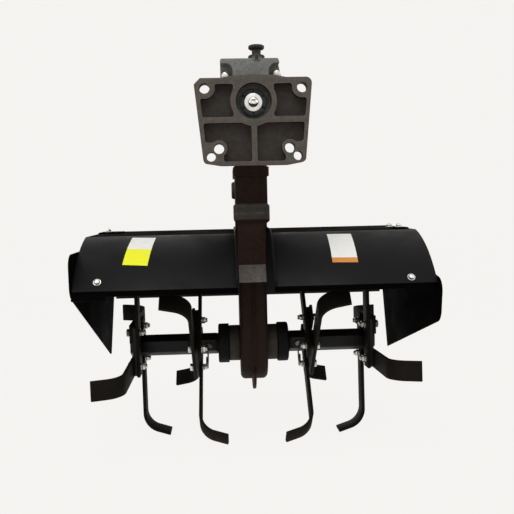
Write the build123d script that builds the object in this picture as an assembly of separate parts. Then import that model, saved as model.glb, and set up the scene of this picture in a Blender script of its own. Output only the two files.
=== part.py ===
# Rotary tiller attachment for a walk-behind tractor.
# Millimetres. +X to the right as seen from the tractor, +Y rearwards, +Z up.
# The origin is the centre of the pilot bore, on the mounting face of the flange plate.
import os
from math import atan2, cos, hypot, radians, sin, sqrt, tan

from build123d import *

os.makedirs("parts", exist_ok=True)

# ---------------------------------------------------------------- driving dimensions
ROTOR_BACK = 225          # rotor axis behind the mounting face
ROTOR_RADIUS = 165        # to the tips of the tines
HOOD_DROP = 178           # top of the hood below the input axis
HOOD_HEADROOM = 22        # top of the hood above the circle of the tines' tips
HOOD_TOP = ROTOR_RADIUS + HOOD_HEADROOM
ROTOR_DROP = HOOD_DROP + HOOD_TOP     # rotor axis below the input axis
SWEEP_CLEARANCE = 6       # from the tips' circle to the hood's sheet
RUN_CLEARANCE = 0.1       # radial running clearance of the shafts
CUT_OVER = 1              # how far a cut runs past the faces it opens

# Flange plate, with its outline's half widths and heights
PLATE_THICK = 18
PLATE_FLOOR = 8           # thickness left behind the pockets
PLATE_TOP = 30
PLATE_BOTTOM = -78.5
PLATE_BELLY = 4           # how far the bottom edge drops between the corners
PLATE_BELLY_HALF = 44
PLATE_HUMP = 4            # how far the top edge rises over the housing
PLATE_HUMP_HALF = 43
PLATE_TOP_HALF = 77
PLATE_BOTTOM_HALF = 67
PLATE_CHAMFER = 8
PLATE_ROUND = 8
PLATE_FOOT_ROUND = 5
PILOT_RADIUS = 23.5
PILOT_DEPTH = 10
SEAT_RADIUS = 21.5
BOSS_RADIUS = 30.3        # round the pilot, above and below the rib
LOWER_BOSS_RADIUS = 32
RIB_TOP = -20             # horizontal rib
RIB_BOTTOM = -27.8
RIB_HALF = 3.6            # vertical rib
WEB_HALF = 26.5           # between the upper pockets
RIM = 5.5                 # beside the pockets
UPPER_RIM = 8
LOWER_RIM = 5
POCKET_ROUND = 3
FOOT_RISE = 8             # of the lower pockets' outer ends above the inner holes
FOOT_INSET = 6            # of the lower pockets' lower ends from the inner holes
BOLT_RADIUS = 6.75        # holes for M12
DOWEL_RADIUS = 6
UPPER_INSET = 13.5        # of the holes from the plate's widest and narrowest sides
INNER_INSET = 20.5
OUTER_INSET = 10
UPPER_DROP = 13           # of the holes from the plate's top and bottom edges
INNER_RISE = 18
OUTER_RISE = 7.5
UPPER_BOSS = 13.5         # radii of the bosses round the holes
INNER_BOSS = 10.8
OUTER_BOSS = 10

# Bevel housing, behind the plate, down to its flange on the leg
HOUSING_LEFT = 42.5
HOUSING_RIGHT = 39.5
HOUSING_TOP = 58
HOUSING_BOTTOM = -42
SHAFT_LENGTH = 128        # of the input shaft inside the housing
HOUSING_LEAN = 5          # of its right side, inwards at the top
HOUSING_LEAN_DROP = 24
HOUSING_EDGE = 3
RECESS_RADIUS = 9.5       # arched recesses for the bolt heads
RECESS_LENGTH = 16
RECESS_LEFT = -35.5       # centres of their arches
RECESS_RIGHT = 31
RECESS_Z = 42.5
DRUM_RADIUS = 54
DRUM_HALF = 38
COVER_RADIUS = 50
COVER_THICK = 10
COVER_STEP = 6
COVER_DOME_RADIUS = 25

# Filler plug at the front of the housing's top
PLUG_X = 6
PLUG_Y = 27
PLUG_BOSS_RADIUS = 11
PLUG_BOSS_DROP = 3        # of the boss below the housing's top
PLUG_BOSS_HEIGHT = 5
PLUG_BOSS_EDGE = 1
PLUG_NECK_RADIUS = 6
PLUG_NECK_HEIGHT = 8
PLUG_KNOB_RADIUS = 10.8
PLUG_KNOB_HEIGHT = 5.5
PLUG_KNOB_EDGE = 1.5

# Leg: column, joint collars, neck, shoulder and drive case
COLUMN_HALF = 24.5
COLUMN_FRONT = 148
LEG_BACK = 268
COLLAR_HALF = 27.3
COLLAR_ROUND = 4
COLLAR_SLOPE = 3.5        # above and below the lower collars
COLLAR_LIP = 4.5          # how far the collars stand out in front and behind
UPPER_JOINT = -84         # between housing and column
UPPER_FLANGE = 7
LOWER_JOINT = -148        # between column and neck
LOWER_FLANGE = 15
NECK_HALF = 22.5
NECK_FRONT = 184
SHOULDER_HALF = 21.5
SHOULDER_TOP = 134        # above the rotor axis
SHOULDER_BOTTOM = 108
CASE_HALF = 22
CASE_RADIUS = 60
CASE_ROUND = 8            # of the drive case's outer rims
PARTING_RIB_HALF = 2.5
PARTING_RIB_HEIGHT = 4
FIN_RADIUS = 77
FIN_SWEEP = 62            # degrees of the fin's arc to each side

# Shaft bearings at the drive case
JOURNAL_RADIUS = 17
HUB_RADIUS = 29.5
HUB_OUT = 40
CAP_RADIUS = 32.5
CAP_OUT = 58
CAP_ROUND = 3

# Rotor
SHAFT_RADIUS = 12
TUBE_GAP = 2              # between the fixed cap and the turning tube
TUBE_END = 203
TUBE_FLATS = 31
FLANGE_INNER_X = 93
FLANGE_OUTER_X = 192
FLANGE_SIZE = 84
FLANGE_THICK = 5
FLANGE_ROUND = 6
BOLT_OFFSET = 28
BOLT_HOLE_RADIUS = 5.25
TINE_WIDTH = 30
TUBE_RELIEF = 19          # scallop in a shank, round the hex tube
TINE_THICK = 5
TINE_HEEL = 43            # how far a tine's shank reaches back past the rotor axis
TINE_BEND_RADIUS = 32
TINE_BEND = 72            # degrees
TINE_REACH = 43           # sideways, from the shank's middle to the tip

# Hood, set from the rotor axis and the tips' circle
SHEET = 3
HOOD_HALF = 253
LIP_REACH = 32                  # front lip in front of the tips' circle
LIP_FRONT = ROTOR_RADIUS + LIP_REACH
LIP_HEIGHT = 110
FRONT_BEND = 84                 # front bend in front of the axis
FRONT_BULGE = 13                # of the front panel from its chord
REAR_LEAN = 27                  # degrees of the rear panel from the vertical
REAR_LENGTH = 24                # of the rear panel below its point nearest the rotor
HOOD_BEND_RADIUS = 9
SLOT_HALF = 25
SLOT_GAP = 2                    # behind the leg
SLOT_BACK = LEG_BACK + SLOT_GAP
RAIL_HEIGHT = 6                 # strips that stand along the slot
RAIL_THICK = 3
RAIL_START = 8                  # along the front panel, up from the lip
CHEEK_BELOW = 53                # cheeks on the neck, below and above the top panel
CHEEK_ABOVE = 15

# End plates, from the rotor axis, and the brackets that hold them under the hood
END_TOP_DROP = 19               # below the hood's top
END_TOP = HOOD_TOP - END_TOP_DROP
END_SETBACK = 5                 # behind the hood's front lip
END_FRONT = LIP_FRONT - END_SETBACK
END_BACK = 145
END_BACK_HEIGHT = 66
END_SHOULDER_HEIGHT = 120
END_TOP_BACK = 112
END_HEEL = 94
END_HEEL_DROP = 34
END_TOP_ROUND = 18
END_NOSE_ROUND = 22
END_PIVOT_BACK = 129
END_PIVOT_HEIGHT = 46
END_TURN = 8                    # degrees that the right plate is set nose down
BRACKET_WIDTH = 47
BRACKET_LENGTH = 28
BRACKET_LAP = 3                 # below the front lip
BRACKET_DEPTH = 25

# Input
DOG_RADIUS = 17.5
DOG_FRONT = 11
DOG_SLOTS = 6
DOG_SLOT_WIDTH = 3.2
DOG_SLOT_DEPTH = 4
DOG_SLOT_REACH = 2              # past both faces of the ring's wall
SHAFT_END_RADIUS = 12.3

ROTOR = (0, ROTOR_BACK, -ROTOR_DROP)


# ---------------------------------------------------------------- helpers
def box(x0, x1, y0, y1, z0, z1):
    return Pos((x0 + x1) / 2, (y0 + y1) / 2, (z0 + z1) / 2) * Box(x1 - x0, y1 - y0, z1 - z0)


def bar_x(radius, x0, x1, y=ROTOR_BACK, z=-ROTOR_DROP):
    return Pos((x0 + x1) / 2, y, z) * Rot(0, 90, 0) * Cylinder(radius, x1 - x0)


def bar_y(radius, y0, y1, x=0.0, z=0.0):
    return Pos(x, (y0 + y1) / 2, z) * Rot(90, 0, 0) * Cylinder(radius, y1 - y0)


def bar_z(radius, z0, z1, x, y):
    return Pos(x, y, (z0 + z1) / 2) * Cylinder(radius, z1 - z0)


def from_front(face, y0, y1):
    """Extrude an X-Z face from y0 back to y1."""
    return extrude(Plane.XZ.offset(-y1) * face, y1 - y0)


def side_outline(points, x0, x1):
    """Extrude a Y-Z outline from x0 to x1."""
    face = make_face(Polyline(*points, close=True))
    return extrude(Plane.YZ.offset(x0) * face, x1 - x0)


def from_rotor(points):
    """Move Y-Z points measured from the rotor axis into the part's frame."""
    return [(y + ROTOR_BACK, z - ROTOR_DROP) for y, z in points]


def mirrored(shape):
    return mirror(shape, about=Plane.YZ)


def save(name, shape):
    shape.label = name
    export_step(shape, f"parts/{name}.step")


# ---------------------------------------------------------------- flange plate
# columns: half spacing, height, hole radius, boss radius
HOLE_PAIRS = {
    "upper": (PLATE_TOP_HALF - UPPER_INSET, PLATE_TOP - UPPER_DROP, BOLT_RADIUS, UPPER_BOSS),
    "lower_inner": (PLATE_BOTTOM_HALF - INNER_INSET, PLATE_BOTTOM + INNER_RISE, BOLT_RADIUS, INNER_BOSS),
    "lower_outer": (PLATE_BOTTOM_HALF - OUTER_INSET, PLATE_BOTTOM + OUTER_RISE, DOWEL_RADIUS, OUTER_BOSS),
}


def edge_half(z):
    """Half width of the tapered plate at height z."""
    share = (z - PLATE_BOTTOM) / (PLATE_TOP - PLATE_BOTTOM)
    return PLATE_BOTTOM_HALF + share * (PLATE_TOP_HALF - PLATE_BOTTOM_HALF)


def plate_face():
    """The plate's outline: a chamfer at the upper left, and the other corners round."""
    upper_right = (PLATE_TOP_HALF, PLATE_TOP)
    feet = [(PLATE_BOTTOM_HALF, PLATE_BOTTOM), (-PLATE_BOTTOM_HALF, PLATE_BOTTOM)]
    face = make_face(Polyline(
        (-PLATE_TOP_HALF, PLATE_TOP - PLATE_CHAMFER),
        (-PLATE_TOP_HALF + PLATE_CHAMFER, PLATE_TOP),
        upper_right,
        feet[0],
        (PLATE_BELLY_HALF, PLATE_BOTTOM - PLATE_BELLY),
        (-PLATE_BELLY_HALF, PLATE_BOTTOM - PLATE_BELLY),
        feet[1],
        close=True))
    for corner, radius in ((upper_right, PLATE_ROUND), (feet[0], PLATE_FOOT_ROUND),
                           (feet[1], PLATE_FOOT_ROUND)):
        face = fillet(face.vertices().sort_by_distance(corner)[0], radius)
    return face


def plate_hump():
    """Low arch on the top edge, in front of the housing."""
    radius = (PLATE_HUMP_HALF ** 2 + PLATE_HUMP ** 2) / (2 * PLATE_HUMP)
    arch = bar_y(radius, 0, PLATE_THICK, 0, PLATE_TOP + PLATE_HUMP - radius)
    return arch & box(-PLATE_HUMP_HALF, PLATE_HUMP_HALF, 0, PLATE_THICK,
                      PLATE_TOP - UPPER_RIM, PLATE_TOP + PLATE_HUMP)


def pocket_face(points, boss_radius):
    """An outline that keeps clear of the bosses, with every corner rounded."""
    face = make_face(Polyline(*points, close=True)) - Circle(boss_radius)
    for half, z, _, boss in HOLE_PAIRS.values():
        face -= Pos(half, z) * Circle(boss)
    face = face.faces().sort_by(SortBy.AREA)[-1]
    return fillet(face.vertices(), POCKET_ROUND)


def flange_plate():
    plate = from_front(plate_face(), 0, PLATE_THICK) + plate_hump()
    inner_half, inner_z, _, _ = HOLE_PAIRS["lower_inner"]
    foot = inner_z + FOOT_RISE
    low = PLATE_BOTTOM - PLATE_BELLY + LOWER_RIM
    upper = [
        (WEB_HALF, PLATE_TOP - UPPER_RIM),
        (edge_half(PLATE_TOP) - RIM, PLATE_TOP - UPPER_RIM),
        (edge_half(RIB_TOP) - RIM, RIB_TOP),
        (WEB_HALF, RIB_TOP),
    ]
    lower = [
        (RIB_HALF, RIB_BOTTOM),
        (edge_half(RIB_BOTTOM) - RIM, RIB_BOTTOM),
        (edge_half(foot) - RIM, foot),
        (inner_half - FOOT_INSET, foot),
        (inner_half - FOOT_INSET, low),
        (RIB_HALF, low),
    ]
    for outline, boss_radius in ((upper, BOSS_RADIUS), (lower, LOWER_BOSS_RADIUS)):
        pocket = from_front(pocket_face(outline, boss_radius), -CUT_OVER, PLATE_THICK - PLATE_FLOOR)
        plate -= pocket + mirrored(pocket)
    for half, z, radius, _ in HOLE_PAIRS.values():
        for x in (-half, half):
            plate -= bar_y(radius, -CUT_OVER, PLATE_THICK + CUT_OVER, x, z)
    return plate - bar_y(PILOT_RADIUS, -CUT_OVER, PILOT_DEPTH) - bar_y(SEAT_RADIUS, 0, PLATE_THICK + CUT_OVER)


# ---------------------------------------------------------------- gear housing and leg
def bolt_recess(x, outside):
    """Arched recess behind the plate, open at the housing's side."""
    end = PLATE_THICK + RECESS_LENGTH
    inside = x - RECESS_RADIUS if outside > x else x + RECESS_RADIUS
    arch = bar_y(RECESS_RADIUS, PLATE_THICK, end, x, RECESS_Z)
    arch += box(*sorted((x, outside)), PLATE_THICK, end, 0, RECESS_Z + RECESS_RADIUS)
    return arch + box(*sorted((inside, outside)), PLATE_THICK, end, 0, RECESS_Z)


def bevel_housing():
    """Barrel behind the plate, drum round the bevel gears, and the flange under it."""
    middle = (COLUMN_FRONT + LEG_BACK) / 2
    section = make_face(Polyline(
        (-HOUSING_LEFT, HOUSING_BOTTOM),
        (-HOUSING_LEFT, HOUSING_TOP),
        (HOUSING_RIGHT - HOUSING_LEAN, HOUSING_TOP),
        (HOUSING_RIGHT, HOUSING_TOP - HOUSING_LEAN_DROP),
        (HOUSING_RIGHT, HOUSING_BOTTOM),
        close=True))
    body = from_front(fillet(section.vertices(), HOUSING_EDGE), PLATE_THICK, middle)
    body -= bolt_recess(RECESS_LEFT, -HOUSING_LEFT - HOUSING_EDGE)
    body -= bolt_recess(RECESS_RIGHT, HOUSING_RIGHT + HOUSING_EDGE)
    body += bar_x(DRUM_RADIUS, -DRUM_HALF, DRUM_HALF, middle, 0)
    body += bar_y(COVER_RADIUS, middle, LEG_BACK + COLLAR_LIP)
    body += box(-COLUMN_HALF, COLUMN_HALF, COLUMN_FRONT, LEG_BACK, UPPER_JOINT, 0)
    body += collar(UPPER_JOINT, UPPER_JOINT + UPPER_FLANGE)
    boss = bar_z(PLUG_BOSS_RADIUS, HOUSING_TOP - PLUG_BOSS_DROP, HOUSING_TOP + PLUG_BOSS_HEIGHT,
                 PLUG_X, PLUG_Y)
    body += chamfer(boss.edges().filter_by(GeomType.CIRCLE), PLUG_BOSS_EDGE)
    return body - bar_y(SHAFT_END_RADIUS + RUN_CLEARANCE, PLATE_THICK - CUT_OVER, PLATE_THICK + SHAFT_LENGTH)


def collar(low, high):
    """Flange round the leg, with round corners."""
    ring = box(-COLLAR_HALF, COLLAR_HALF, COLUMN_FRONT - COLLAR_LIP, LEG_BACK + COLLAR_LIP, low, high)
    return fillet(ring.edges().filter_by(Axis.Z), COLLAR_ROUND)


def rear_cover():
    start = LEG_BACK + COLLAR_LIP
    cover = bar_y(COVER_RADIUS, start, start + COVER_THICK)
    return cover + bar_y(COVER_DOME_RADIUS, start, start + COVER_THICK + COVER_STEP)


def filler_plug():
    base = HOUSING_TOP + PLUG_BOSS_HEIGHT
    low = base + PLUG_NECK_HEIGHT
    neck = bar_z(PLUG_NECK_RADIUS, base, low, PLUG_X, PLUG_Y)
    knob = bar_z(PLUG_KNOB_RADIUS, low, low + PLUG_KNOB_HEIGHT, PLUG_X, PLUG_Y)
    knob = chamfer(knob.edges().filter_by(GeomType.CIRCLE), PLUG_KNOB_EDGE)
    return neck + knob


def leg_column():
    column = box(-COLUMN_HALF, COLUMN_HALF, COLUMN_FRONT, LEG_BACK, LOWER_JOINT, UPPER_JOINT)
    column += collar(UPPER_JOINT - UPPER_FLANGE, UPPER_JOINT)
    ring = collar(LOWER_JOINT, LOWER_JOINT + LOWER_FLANGE)
    return column + chamfer(ring.faces().sort_by(Axis.Z)[-1].edges(), COLLAR_SLOPE)


def leg_neck():
    """Straight neck under its collar, and the shoulder that slopes out to the drive case."""
    top, bottom = SHOULDER_TOP - ROTOR_DROP, SHOULDER_BOTTOM - ROTOR_DROP
    neck = box(-NECK_HALF, NECK_HALF, NECK_FRONT, LEG_BACK, top, LOWER_JOINT)
    ring = collar(LOWER_JOINT - LOWER_FLANGE, LOWER_JOINT)
    neck += chamfer(ring.faces().sort_by(Axis.Z)[0].edges(), COLLAR_SLOPE)
    shoulder = [
        (NECK_FRONT, top),
        (LEG_BACK, top),
        (ROTOR_BACK + CASE_RADIUS, bottom),
        (ROTOR_BACK - CASE_RADIUS, bottom),
    ]
    return neck + side_outline(shoulder, -SHOULDER_HALF, SHOULDER_HALF)


def case_outline(grow, x0, x1):
    """Long round-ended plate of the drive case's shape, grown by a border."""
    radius = CASE_RADIUS + grow
    top = SHOULDER_BOTTOM - ROTOR_DROP
    plate = box(x0, x1, ROTOR_BACK - radius, ROTOR_BACK + radius, -ROTOR_DROP, top)
    return plate + bar_x(radius, x0, x1)


def gearcase_half():
    """The right half: a shell half with its share of the parting rib."""
    shell = case_outline(0, 0, CASE_HALF)
    rim = shell.faces().sort_by(Axis.X)[-1].edges().sort_by(Axis.Z)[:-1]
    half = fillet(rim, CASE_ROUND) + case_outline(PARTING_RIB_HEIGHT, 0, PARTING_RIB_HALF)
    return half - bar_x(JOURNAL_RADIUS + RUN_CLEARANCE, -CUT_OVER, CASE_HALF + CUT_OVER)


def keel_fin():
    inner = CASE_RADIUS + PARTING_RIB_HEIGHT
    ring = bar_x(FIN_RADIUS, -PARTING_RIB_HALF, PARTING_RIB_HALF)
    ring -= bar_x(inner, -PARTING_RIB_HALF - CUT_OVER, PARTING_RIB_HALF + CUT_OVER)
    spread = FIN_RADIUS * tan(radians(FIN_SWEEP))
    wedge = side_outline(from_rotor([(0, 0), (-spread, -FIN_RADIUS), (spread, -FIN_RADIUS)]),
                         -PARTING_RIB_HALF, PARTING_RIB_HALF)
    return ring & wedge


def bearing_hub():
    hub = bar_x(HUB_RADIUS, CASE_HALF, HUB_OUT)
    return hub - bar_x(JOURNAL_RADIUS + RUN_CLEARANCE, CASE_HALF - CUT_OVER, HUB_OUT + CUT_OVER)


def bearing_cap():
    cap = bar_x(CAP_RADIUS, HUB_OUT, CAP_OUT)
    cap = fillet(cap.faces().sort_by(Axis.X)[-1].edges(), CAP_ROUND)
    return cap - bar_x(JOURNAL_RADIUS + RUN_CLEARANCE, HUB_OUT - CUT_OVER, CAP_OUT + CUT_OVER)


# ---------------------------------------------------------------- hood
def panel_circle():
    """Centre and radius of the curved front panel's outer face."""
    run, rise = LIP_FRONT - FRONT_BEND, HOOD_TOP - LIP_HEIGHT
    chord = hypot(run, rise)
    radius = chord ** 2 / (8 * FRONT_BULGE) + FRONT_BULGE / 2
    depth = radius - FRONT_BULGE
    centre_y = -(LIP_FRONT + FRONT_BEND) / 2 + depth * rise / chord
    centre_z = (LIP_HEIGHT + HOOD_TOP) / 2 - depth * run / chord
    return centre_y, centre_z, radius


def panel_point(out, along):
    """Point of the front panel, out from its outer face and along it from the lip."""
    centre_y, centre_z, radius = panel_circle()
    turn = atan2(LIP_HEIGHT - centre_z, -LIP_FRONT - centre_y) - along / radius
    return centre_y + (radius + out) * cos(turn), centre_z + (radius + out) * sin(turn)


def hood_line(out):
    """Lip, a point half way up the front panel, front bend, rear bend and rear edge."""
    lean = radians(REAR_LEAN)
    reach = ROTOR_RADIUS + SWEEP_CLEARANCE + SHEET + out
    top = HOOD_TOP + out
    centre_y, centre_z, radius = panel_circle()
    return [
        panel_point(out, 0),
        panel_point(out, hypot(LIP_FRONT - FRONT_BEND, HOOD_TOP - LIP_HEIGHT) / 2),
        (centre_y - sqrt((radius + out) ** 2 - (top - centre_z) ** 2), top),
        ((reach - top * sin(lean)) / cos(lean), top),
        (reach * cos(lean) + REAR_LENGTH * sin(lean), reach * sin(lean) - REAR_LENGTH * cos(lean)),
    ]


def hood_strip(near, far, x0, x1):
    """A strip of the hood's bent shape, between two distances from its outer face."""
    rims = [from_rotor(hood_line(out)) for out in (near, far)]
    edges = [Line(rims[0][0], rims[1][0]), Line(rims[0][-1], rims[1][-1])]
    for lip, middle, front, rear, end in rims:
        edges += [ThreePointArc(lip, middle, front), Line(front, rear), Line(rear, end)]
    face = make_face(edges)
    for out, rim in zip((near, far), rims):
        corner = face.vertices().sort_by_distance(rim[3])[0]
        face = fillet(corner, HOOD_BEND_RADIUS + out)
    return extrude(Plane.YZ.offset(x0) * face, x1 - x0)


def hood():
    sheet = hood_strip(-SHEET, 0, -HOOD_HALF, HOOD_HALF)
    front = ROTOR_BACK - 2 * LIP_FRONT
    return sheet - box(-SLOT_HALF, SLOT_HALF, front, SLOT_BACK, -ROTOR_DROP, 0)


def hood_bracket():
    """Cheek on the neck, and the rail that it holds along the edge of the slot."""
    cheek = box(NECK_HALF, SLOT_HALF, NECK_FRONT, LEG_BACK,
                -HOOD_DROP - CHEEK_BELOW, -HOOD_DROP + CHEEK_ABOVE)
    rail = hood_strip(0, RAIL_HEIGHT, SLOT_HALF, SLOT_HALF + RAIL_THICK)
    start = ROTOR_BACK + panel_point(0, RAIL_START)[0]
    rail &= box(0, HOOD_HALF, start, LEG_BACK, -ROTOR_DROP, 0)
    return cheek + rail


def end_outline():
    """Outline of an end plate about the rotor axis."""
    corners = [
        (-END_FRONT, END_TOP),
        (-END_FRONT, LIP_HEIGHT),
        (END_HEEL, -END_HEEL_DROP),
        (END_BACK, END_BACK_HEIGHT),
        (END_BACK, END_SHOULDER_HEIGHT),
        (END_TOP_BACK, END_TOP),
    ]
    face = make_face(Polyline(*corners, close=True))
    for corner, radius in zip(corners, (END_TOP_ROUND, END_NOSE_ROUND)):
        face = fillet(face.vertices().sort_by_distance(corner)[0], radius)
    return face


def end_plate(turn):
    """The left hood end, turned about its pivot by some degrees, nose down."""
    pivot = Pos(END_PIVOT_BACK, END_PIVOT_HEIGHT)
    face = pivot * Rot(0, 0, turn) * pivot.inverse() * end_outline()
    plate = extrude(Plane.YZ.offset(HOOD_HALF) * face, SHEET)
    return Pos(0, ROTOR_BACK, -ROTOR_DROP) * plate


def bracket_leg(depth, x0):
    """Arched strip inside the front panel near the lip, some way deep, out to the end plate."""
    outer, inner = [
        from_rotor([panel_point(-out, along)
                    for along in (-BRACKET_LAP, BRACKET_LENGTH / 2, BRACKET_LENGTH)])
        for out in (SHEET, SHEET + depth)
    ]
    edges = [ThreePointArc(*outer), Line(outer[2], inner[2]),
             ThreePointArc(*inner), Line(inner[0], outer[0])]
    return extrude(Plane.YZ.offset(x0) * make_face(edges), HOOD_HALF - x0)


def end_bracket():
    """Angle under the front lip that holds an end plate. Its leg on the plate keeps within the outline."""
    outline = Pos(0, ROTOR_BACK, -ROTOR_DROP) * extrude(Plane.YZ * end_outline(), HOOD_HALF + SHEET)
    leg = bracket_leg(BRACKET_DEPTH, HOOD_HALF - SHEET) & outline
    return bracket_leg(SHEET, HOOD_HALF - BRACKET_WIDTH) + leg


# ---------------------------------------------------------------- input
def input_shaft():
    return bar_y(SHAFT_END_RADIUS, DOG_FRONT, PLATE_THICK + SHAFT_LENGTH)


def dog_coupling():
    back = PLATE_THICK - RUN_CLEARANCE
    ring = bar_y(DOG_RADIUS, DOG_FRONT, back) - bar_y(SHAFT_END_RADIUS, 0, back + CUT_OVER)
    slot = box(SHAFT_END_RADIUS - DOG_SLOT_REACH, DOG_RADIUS + DOG_SLOT_REACH,
               DOG_FRONT - CUT_OVER, DOG_FRONT + DOG_SLOT_DEPTH,
               -DOG_SLOT_WIDTH / 2, DOG_SLOT_WIDTH / 2)
    for i in range(DOG_SLOTS):
        ring -= Rot(0, 360 * i / DOG_SLOTS + 30, 0) * slot
    return ring


# ---------------------------------------------------------------- rotor
def hexagon_x(flats, x0, x1):
    prism = extrude(RegularPolygon(flats / 2, 6, major_radius=False), x1 - x0)
    return Pos(x0, ROTOR_BACK, -ROTOR_DROP) * Rot(0, 90, 0) * prism


def rotor_shaft():
    journal = CAP_OUT + TUBE_GAP
    shaft = bar_x(JOURNAL_RADIUS, -journal, journal)
    return shaft + bar_x(SHAFT_RADIUS, -TUBE_END, TUBE_END)


def hex_tube():
    tube = hexagon_x(TUBE_FLATS, CAP_OUT + TUBE_GAP, TUBE_END)
    return tube - bar_x(SHAFT_RADIUS, CAP_OUT, TUBE_END + CUT_OVER)


def tine_flange(x, phase):
    half = FLANGE_THICK / 2
    plate = extrude(RectangleRounded(FLANGE_SIZE, FLANGE_SIZE, FLANGE_ROUND), FLANGE_THICK)
    for y in (-BOLT_OFFSET, BOLT_OFFSET):
        for z in (-BOLT_OFFSET, BOLT_OFFSET):
            plate -= Pos(y, z, 0) * Cylinder(BOLT_HOLE_RADIUS, 4 * FLANGE_THICK)
    plate = Pos(x - half, 0, 0) * (Plane.YZ * plate)
    plate = Pos(*ROTOR) * Rot(phase, 0, 0) * plate
    return plate - hexagon_x(TUBE_FLATS, x - 2 * half, x + 2 * half)


def tine():
    """An L-shaped blade along +Y, bent towards +X, with its shank's middle plane at X = 0."""
    tip_reach = sqrt(ROTOR_RADIUS ** 2 - (BOLT_OFFSET + TINE_WIDTH / 2) ** 2)
    turn = radians(TINE_BEND)
    run = (TINE_REACH - TINE_BEND_RADIUS * (1 - cos(turn))) / sin(turn)
    start = tip_reach - TINE_BEND_RADIUS * sin(turn) - run * cos(turn)
    half = TINE_THICK / 2
    sides = []
    for offset in (-half, half):
        radius = TINE_BEND_RADIUS + offset
        centre = (start, TINE_BEND_RADIUS)
        middle = (centre[0] + radius * sin(turn / 2), centre[1] - radius * cos(turn / 2))
        end = (centre[0] + radius * sin(turn), centre[1] - radius * cos(turn))
        tip = (end[0] + run * cos(turn), end[1] + run * sin(turn))
        heel = (-TINE_HEEL, -offset)
        sides.append([heel, (start, -offset), middle, end, tip])
    near, far = sides
    outline = [
        Line(near[0], near[1]),
        ThreePointArc(near[1], near[2], near[3]),
        Line(near[3], near[4]),
        Line(near[4], far[4]),
        Line(far[4], far[3]),
        ThreePointArc(far[3], far[2], far[1]),
        Line(far[1], far[0]),
        Line(far[0], near[0]),
    ]
    blade = extrude(make_face(outline), TINE_WIDTH / 2, both=True)
    relief = Pos(0, 0, BOLT_OFFSET) * Rot(90, 0, 0) * Cylinder(TUBE_RELIEF, TINE_WIDTH)
    blade -= relief
    # local x runs outwards along the blade, local y is the sideways bend, local z its width
    blade = Plane(origin=(0, 0, 0), x_dir=(0, 1, 0), z_dir=(0, 0, -1)) * blade
    return blade


# side, flange's X, turn of the flange about the rotor axis in degrees
FLANGES = [
    ("left_outer", -FLANGE_OUTER_X, 1),
    ("left_inner", -FLANGE_INNER_X, -45),
    ("right_inner", FLANGE_INNER_X, -45),
    ("right_outer", FLANGE_OUTER_X, -4),
]
# name, direction in degrees from the rear towards the top, side of the flange (+1 is away from
# the middle of the rotor)
TINES = [("front", 180, 1), ("down", 270, -1), ("rear", 0, 1), ("up", 90, -1)]


def placed_tine(flange_x, phase, direction, outward):
    side = 1 if flange_x > 0 else -1
    bend = side * outward
    blade = tine() if bend > 0 else mirrored(tine())
    seat = flange_x + bend * (FLANGE_THICK + TINE_THICK) / 2
    blade = Pos(0, 0, BOLT_OFFSET) * blade
    return Pos(seat, ROTOR_BACK, -ROTOR_DROP) * Rot(direction + phase, 0, 0) * blade


# ---------------------------------------------------------------- build all
save("flange_plate", flange_plate())
save("bevel_housing", bevel_housing())
save("rear_cover", rear_cover())
save("filler_plug", filler_plug())
save("leg_column", leg_column())
save("leg_neck", leg_neck())
save("keel_fin", keel_fin())
save("hood", hood())
for maker, name in ((gearcase_half, "gearcase"), (bearing_hub, "bearing_hub"),
                    (bearing_cap, "bearing_cap"), (hood_bracket, "hood_bracket"),
                    (end_bracket, "end_bracket"), (hex_tube, "hex_tube")):
    piece = maker()
    save(f"{name}_right", piece)
    save(f"{name}_left", mirrored(piece))
save("side_plate_left", mirrored(end_plate(0)))
save("side_plate_right", end_plate(END_TURN))
save("input_shaft", input_shaft())
save("dog_coupling", dog_coupling())
save("rotor_shaft", rotor_shaft())
for flange, x, phase in FLANGES:
    save(f"tine_flange_{flange}", tine_flange(x, phase))
    for name, direction, outward in TINES:
        save(f"tine_{flange}_{name}", placed_tine(x, phase, direction, outward))
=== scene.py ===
# %% [markdown]
# # Dressing a rotary tiller
# A rotary tiller hangs behind a two-wheel tractor. A flange plate bolts to the tractor, a shaft comes in
# through it, bevel gears turn the drive down a leg, and a rotor of bent blades chops the soil under a hood.
# The rigid shapes come from a solid modeller and are loaded as they are. This lesson gives them soft edges,
# paint and fasteners. Lengths are typed in millimetres and multiplied by MM, because Blender counts in
# metres. Only the studio round the tiller is typed in metres.

# %% Load the solids
from math import cos, degrees, pi, radians, sin

import bmesh
import bpy
from mathutils import Matrix, Vector


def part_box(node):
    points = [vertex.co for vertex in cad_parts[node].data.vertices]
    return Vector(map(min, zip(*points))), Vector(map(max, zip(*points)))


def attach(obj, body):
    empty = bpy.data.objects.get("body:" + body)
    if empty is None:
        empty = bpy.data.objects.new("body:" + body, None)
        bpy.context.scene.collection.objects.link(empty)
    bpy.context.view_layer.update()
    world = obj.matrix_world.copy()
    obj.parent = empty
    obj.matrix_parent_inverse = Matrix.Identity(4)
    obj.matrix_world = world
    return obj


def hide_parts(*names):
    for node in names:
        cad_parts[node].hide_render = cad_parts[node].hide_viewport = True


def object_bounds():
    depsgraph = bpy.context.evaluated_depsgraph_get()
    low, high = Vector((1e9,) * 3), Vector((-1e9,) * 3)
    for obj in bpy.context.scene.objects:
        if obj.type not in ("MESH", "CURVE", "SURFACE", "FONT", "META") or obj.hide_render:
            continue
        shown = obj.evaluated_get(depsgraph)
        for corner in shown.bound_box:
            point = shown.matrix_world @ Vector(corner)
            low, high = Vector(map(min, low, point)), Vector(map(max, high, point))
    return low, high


MM = 0.001
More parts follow.
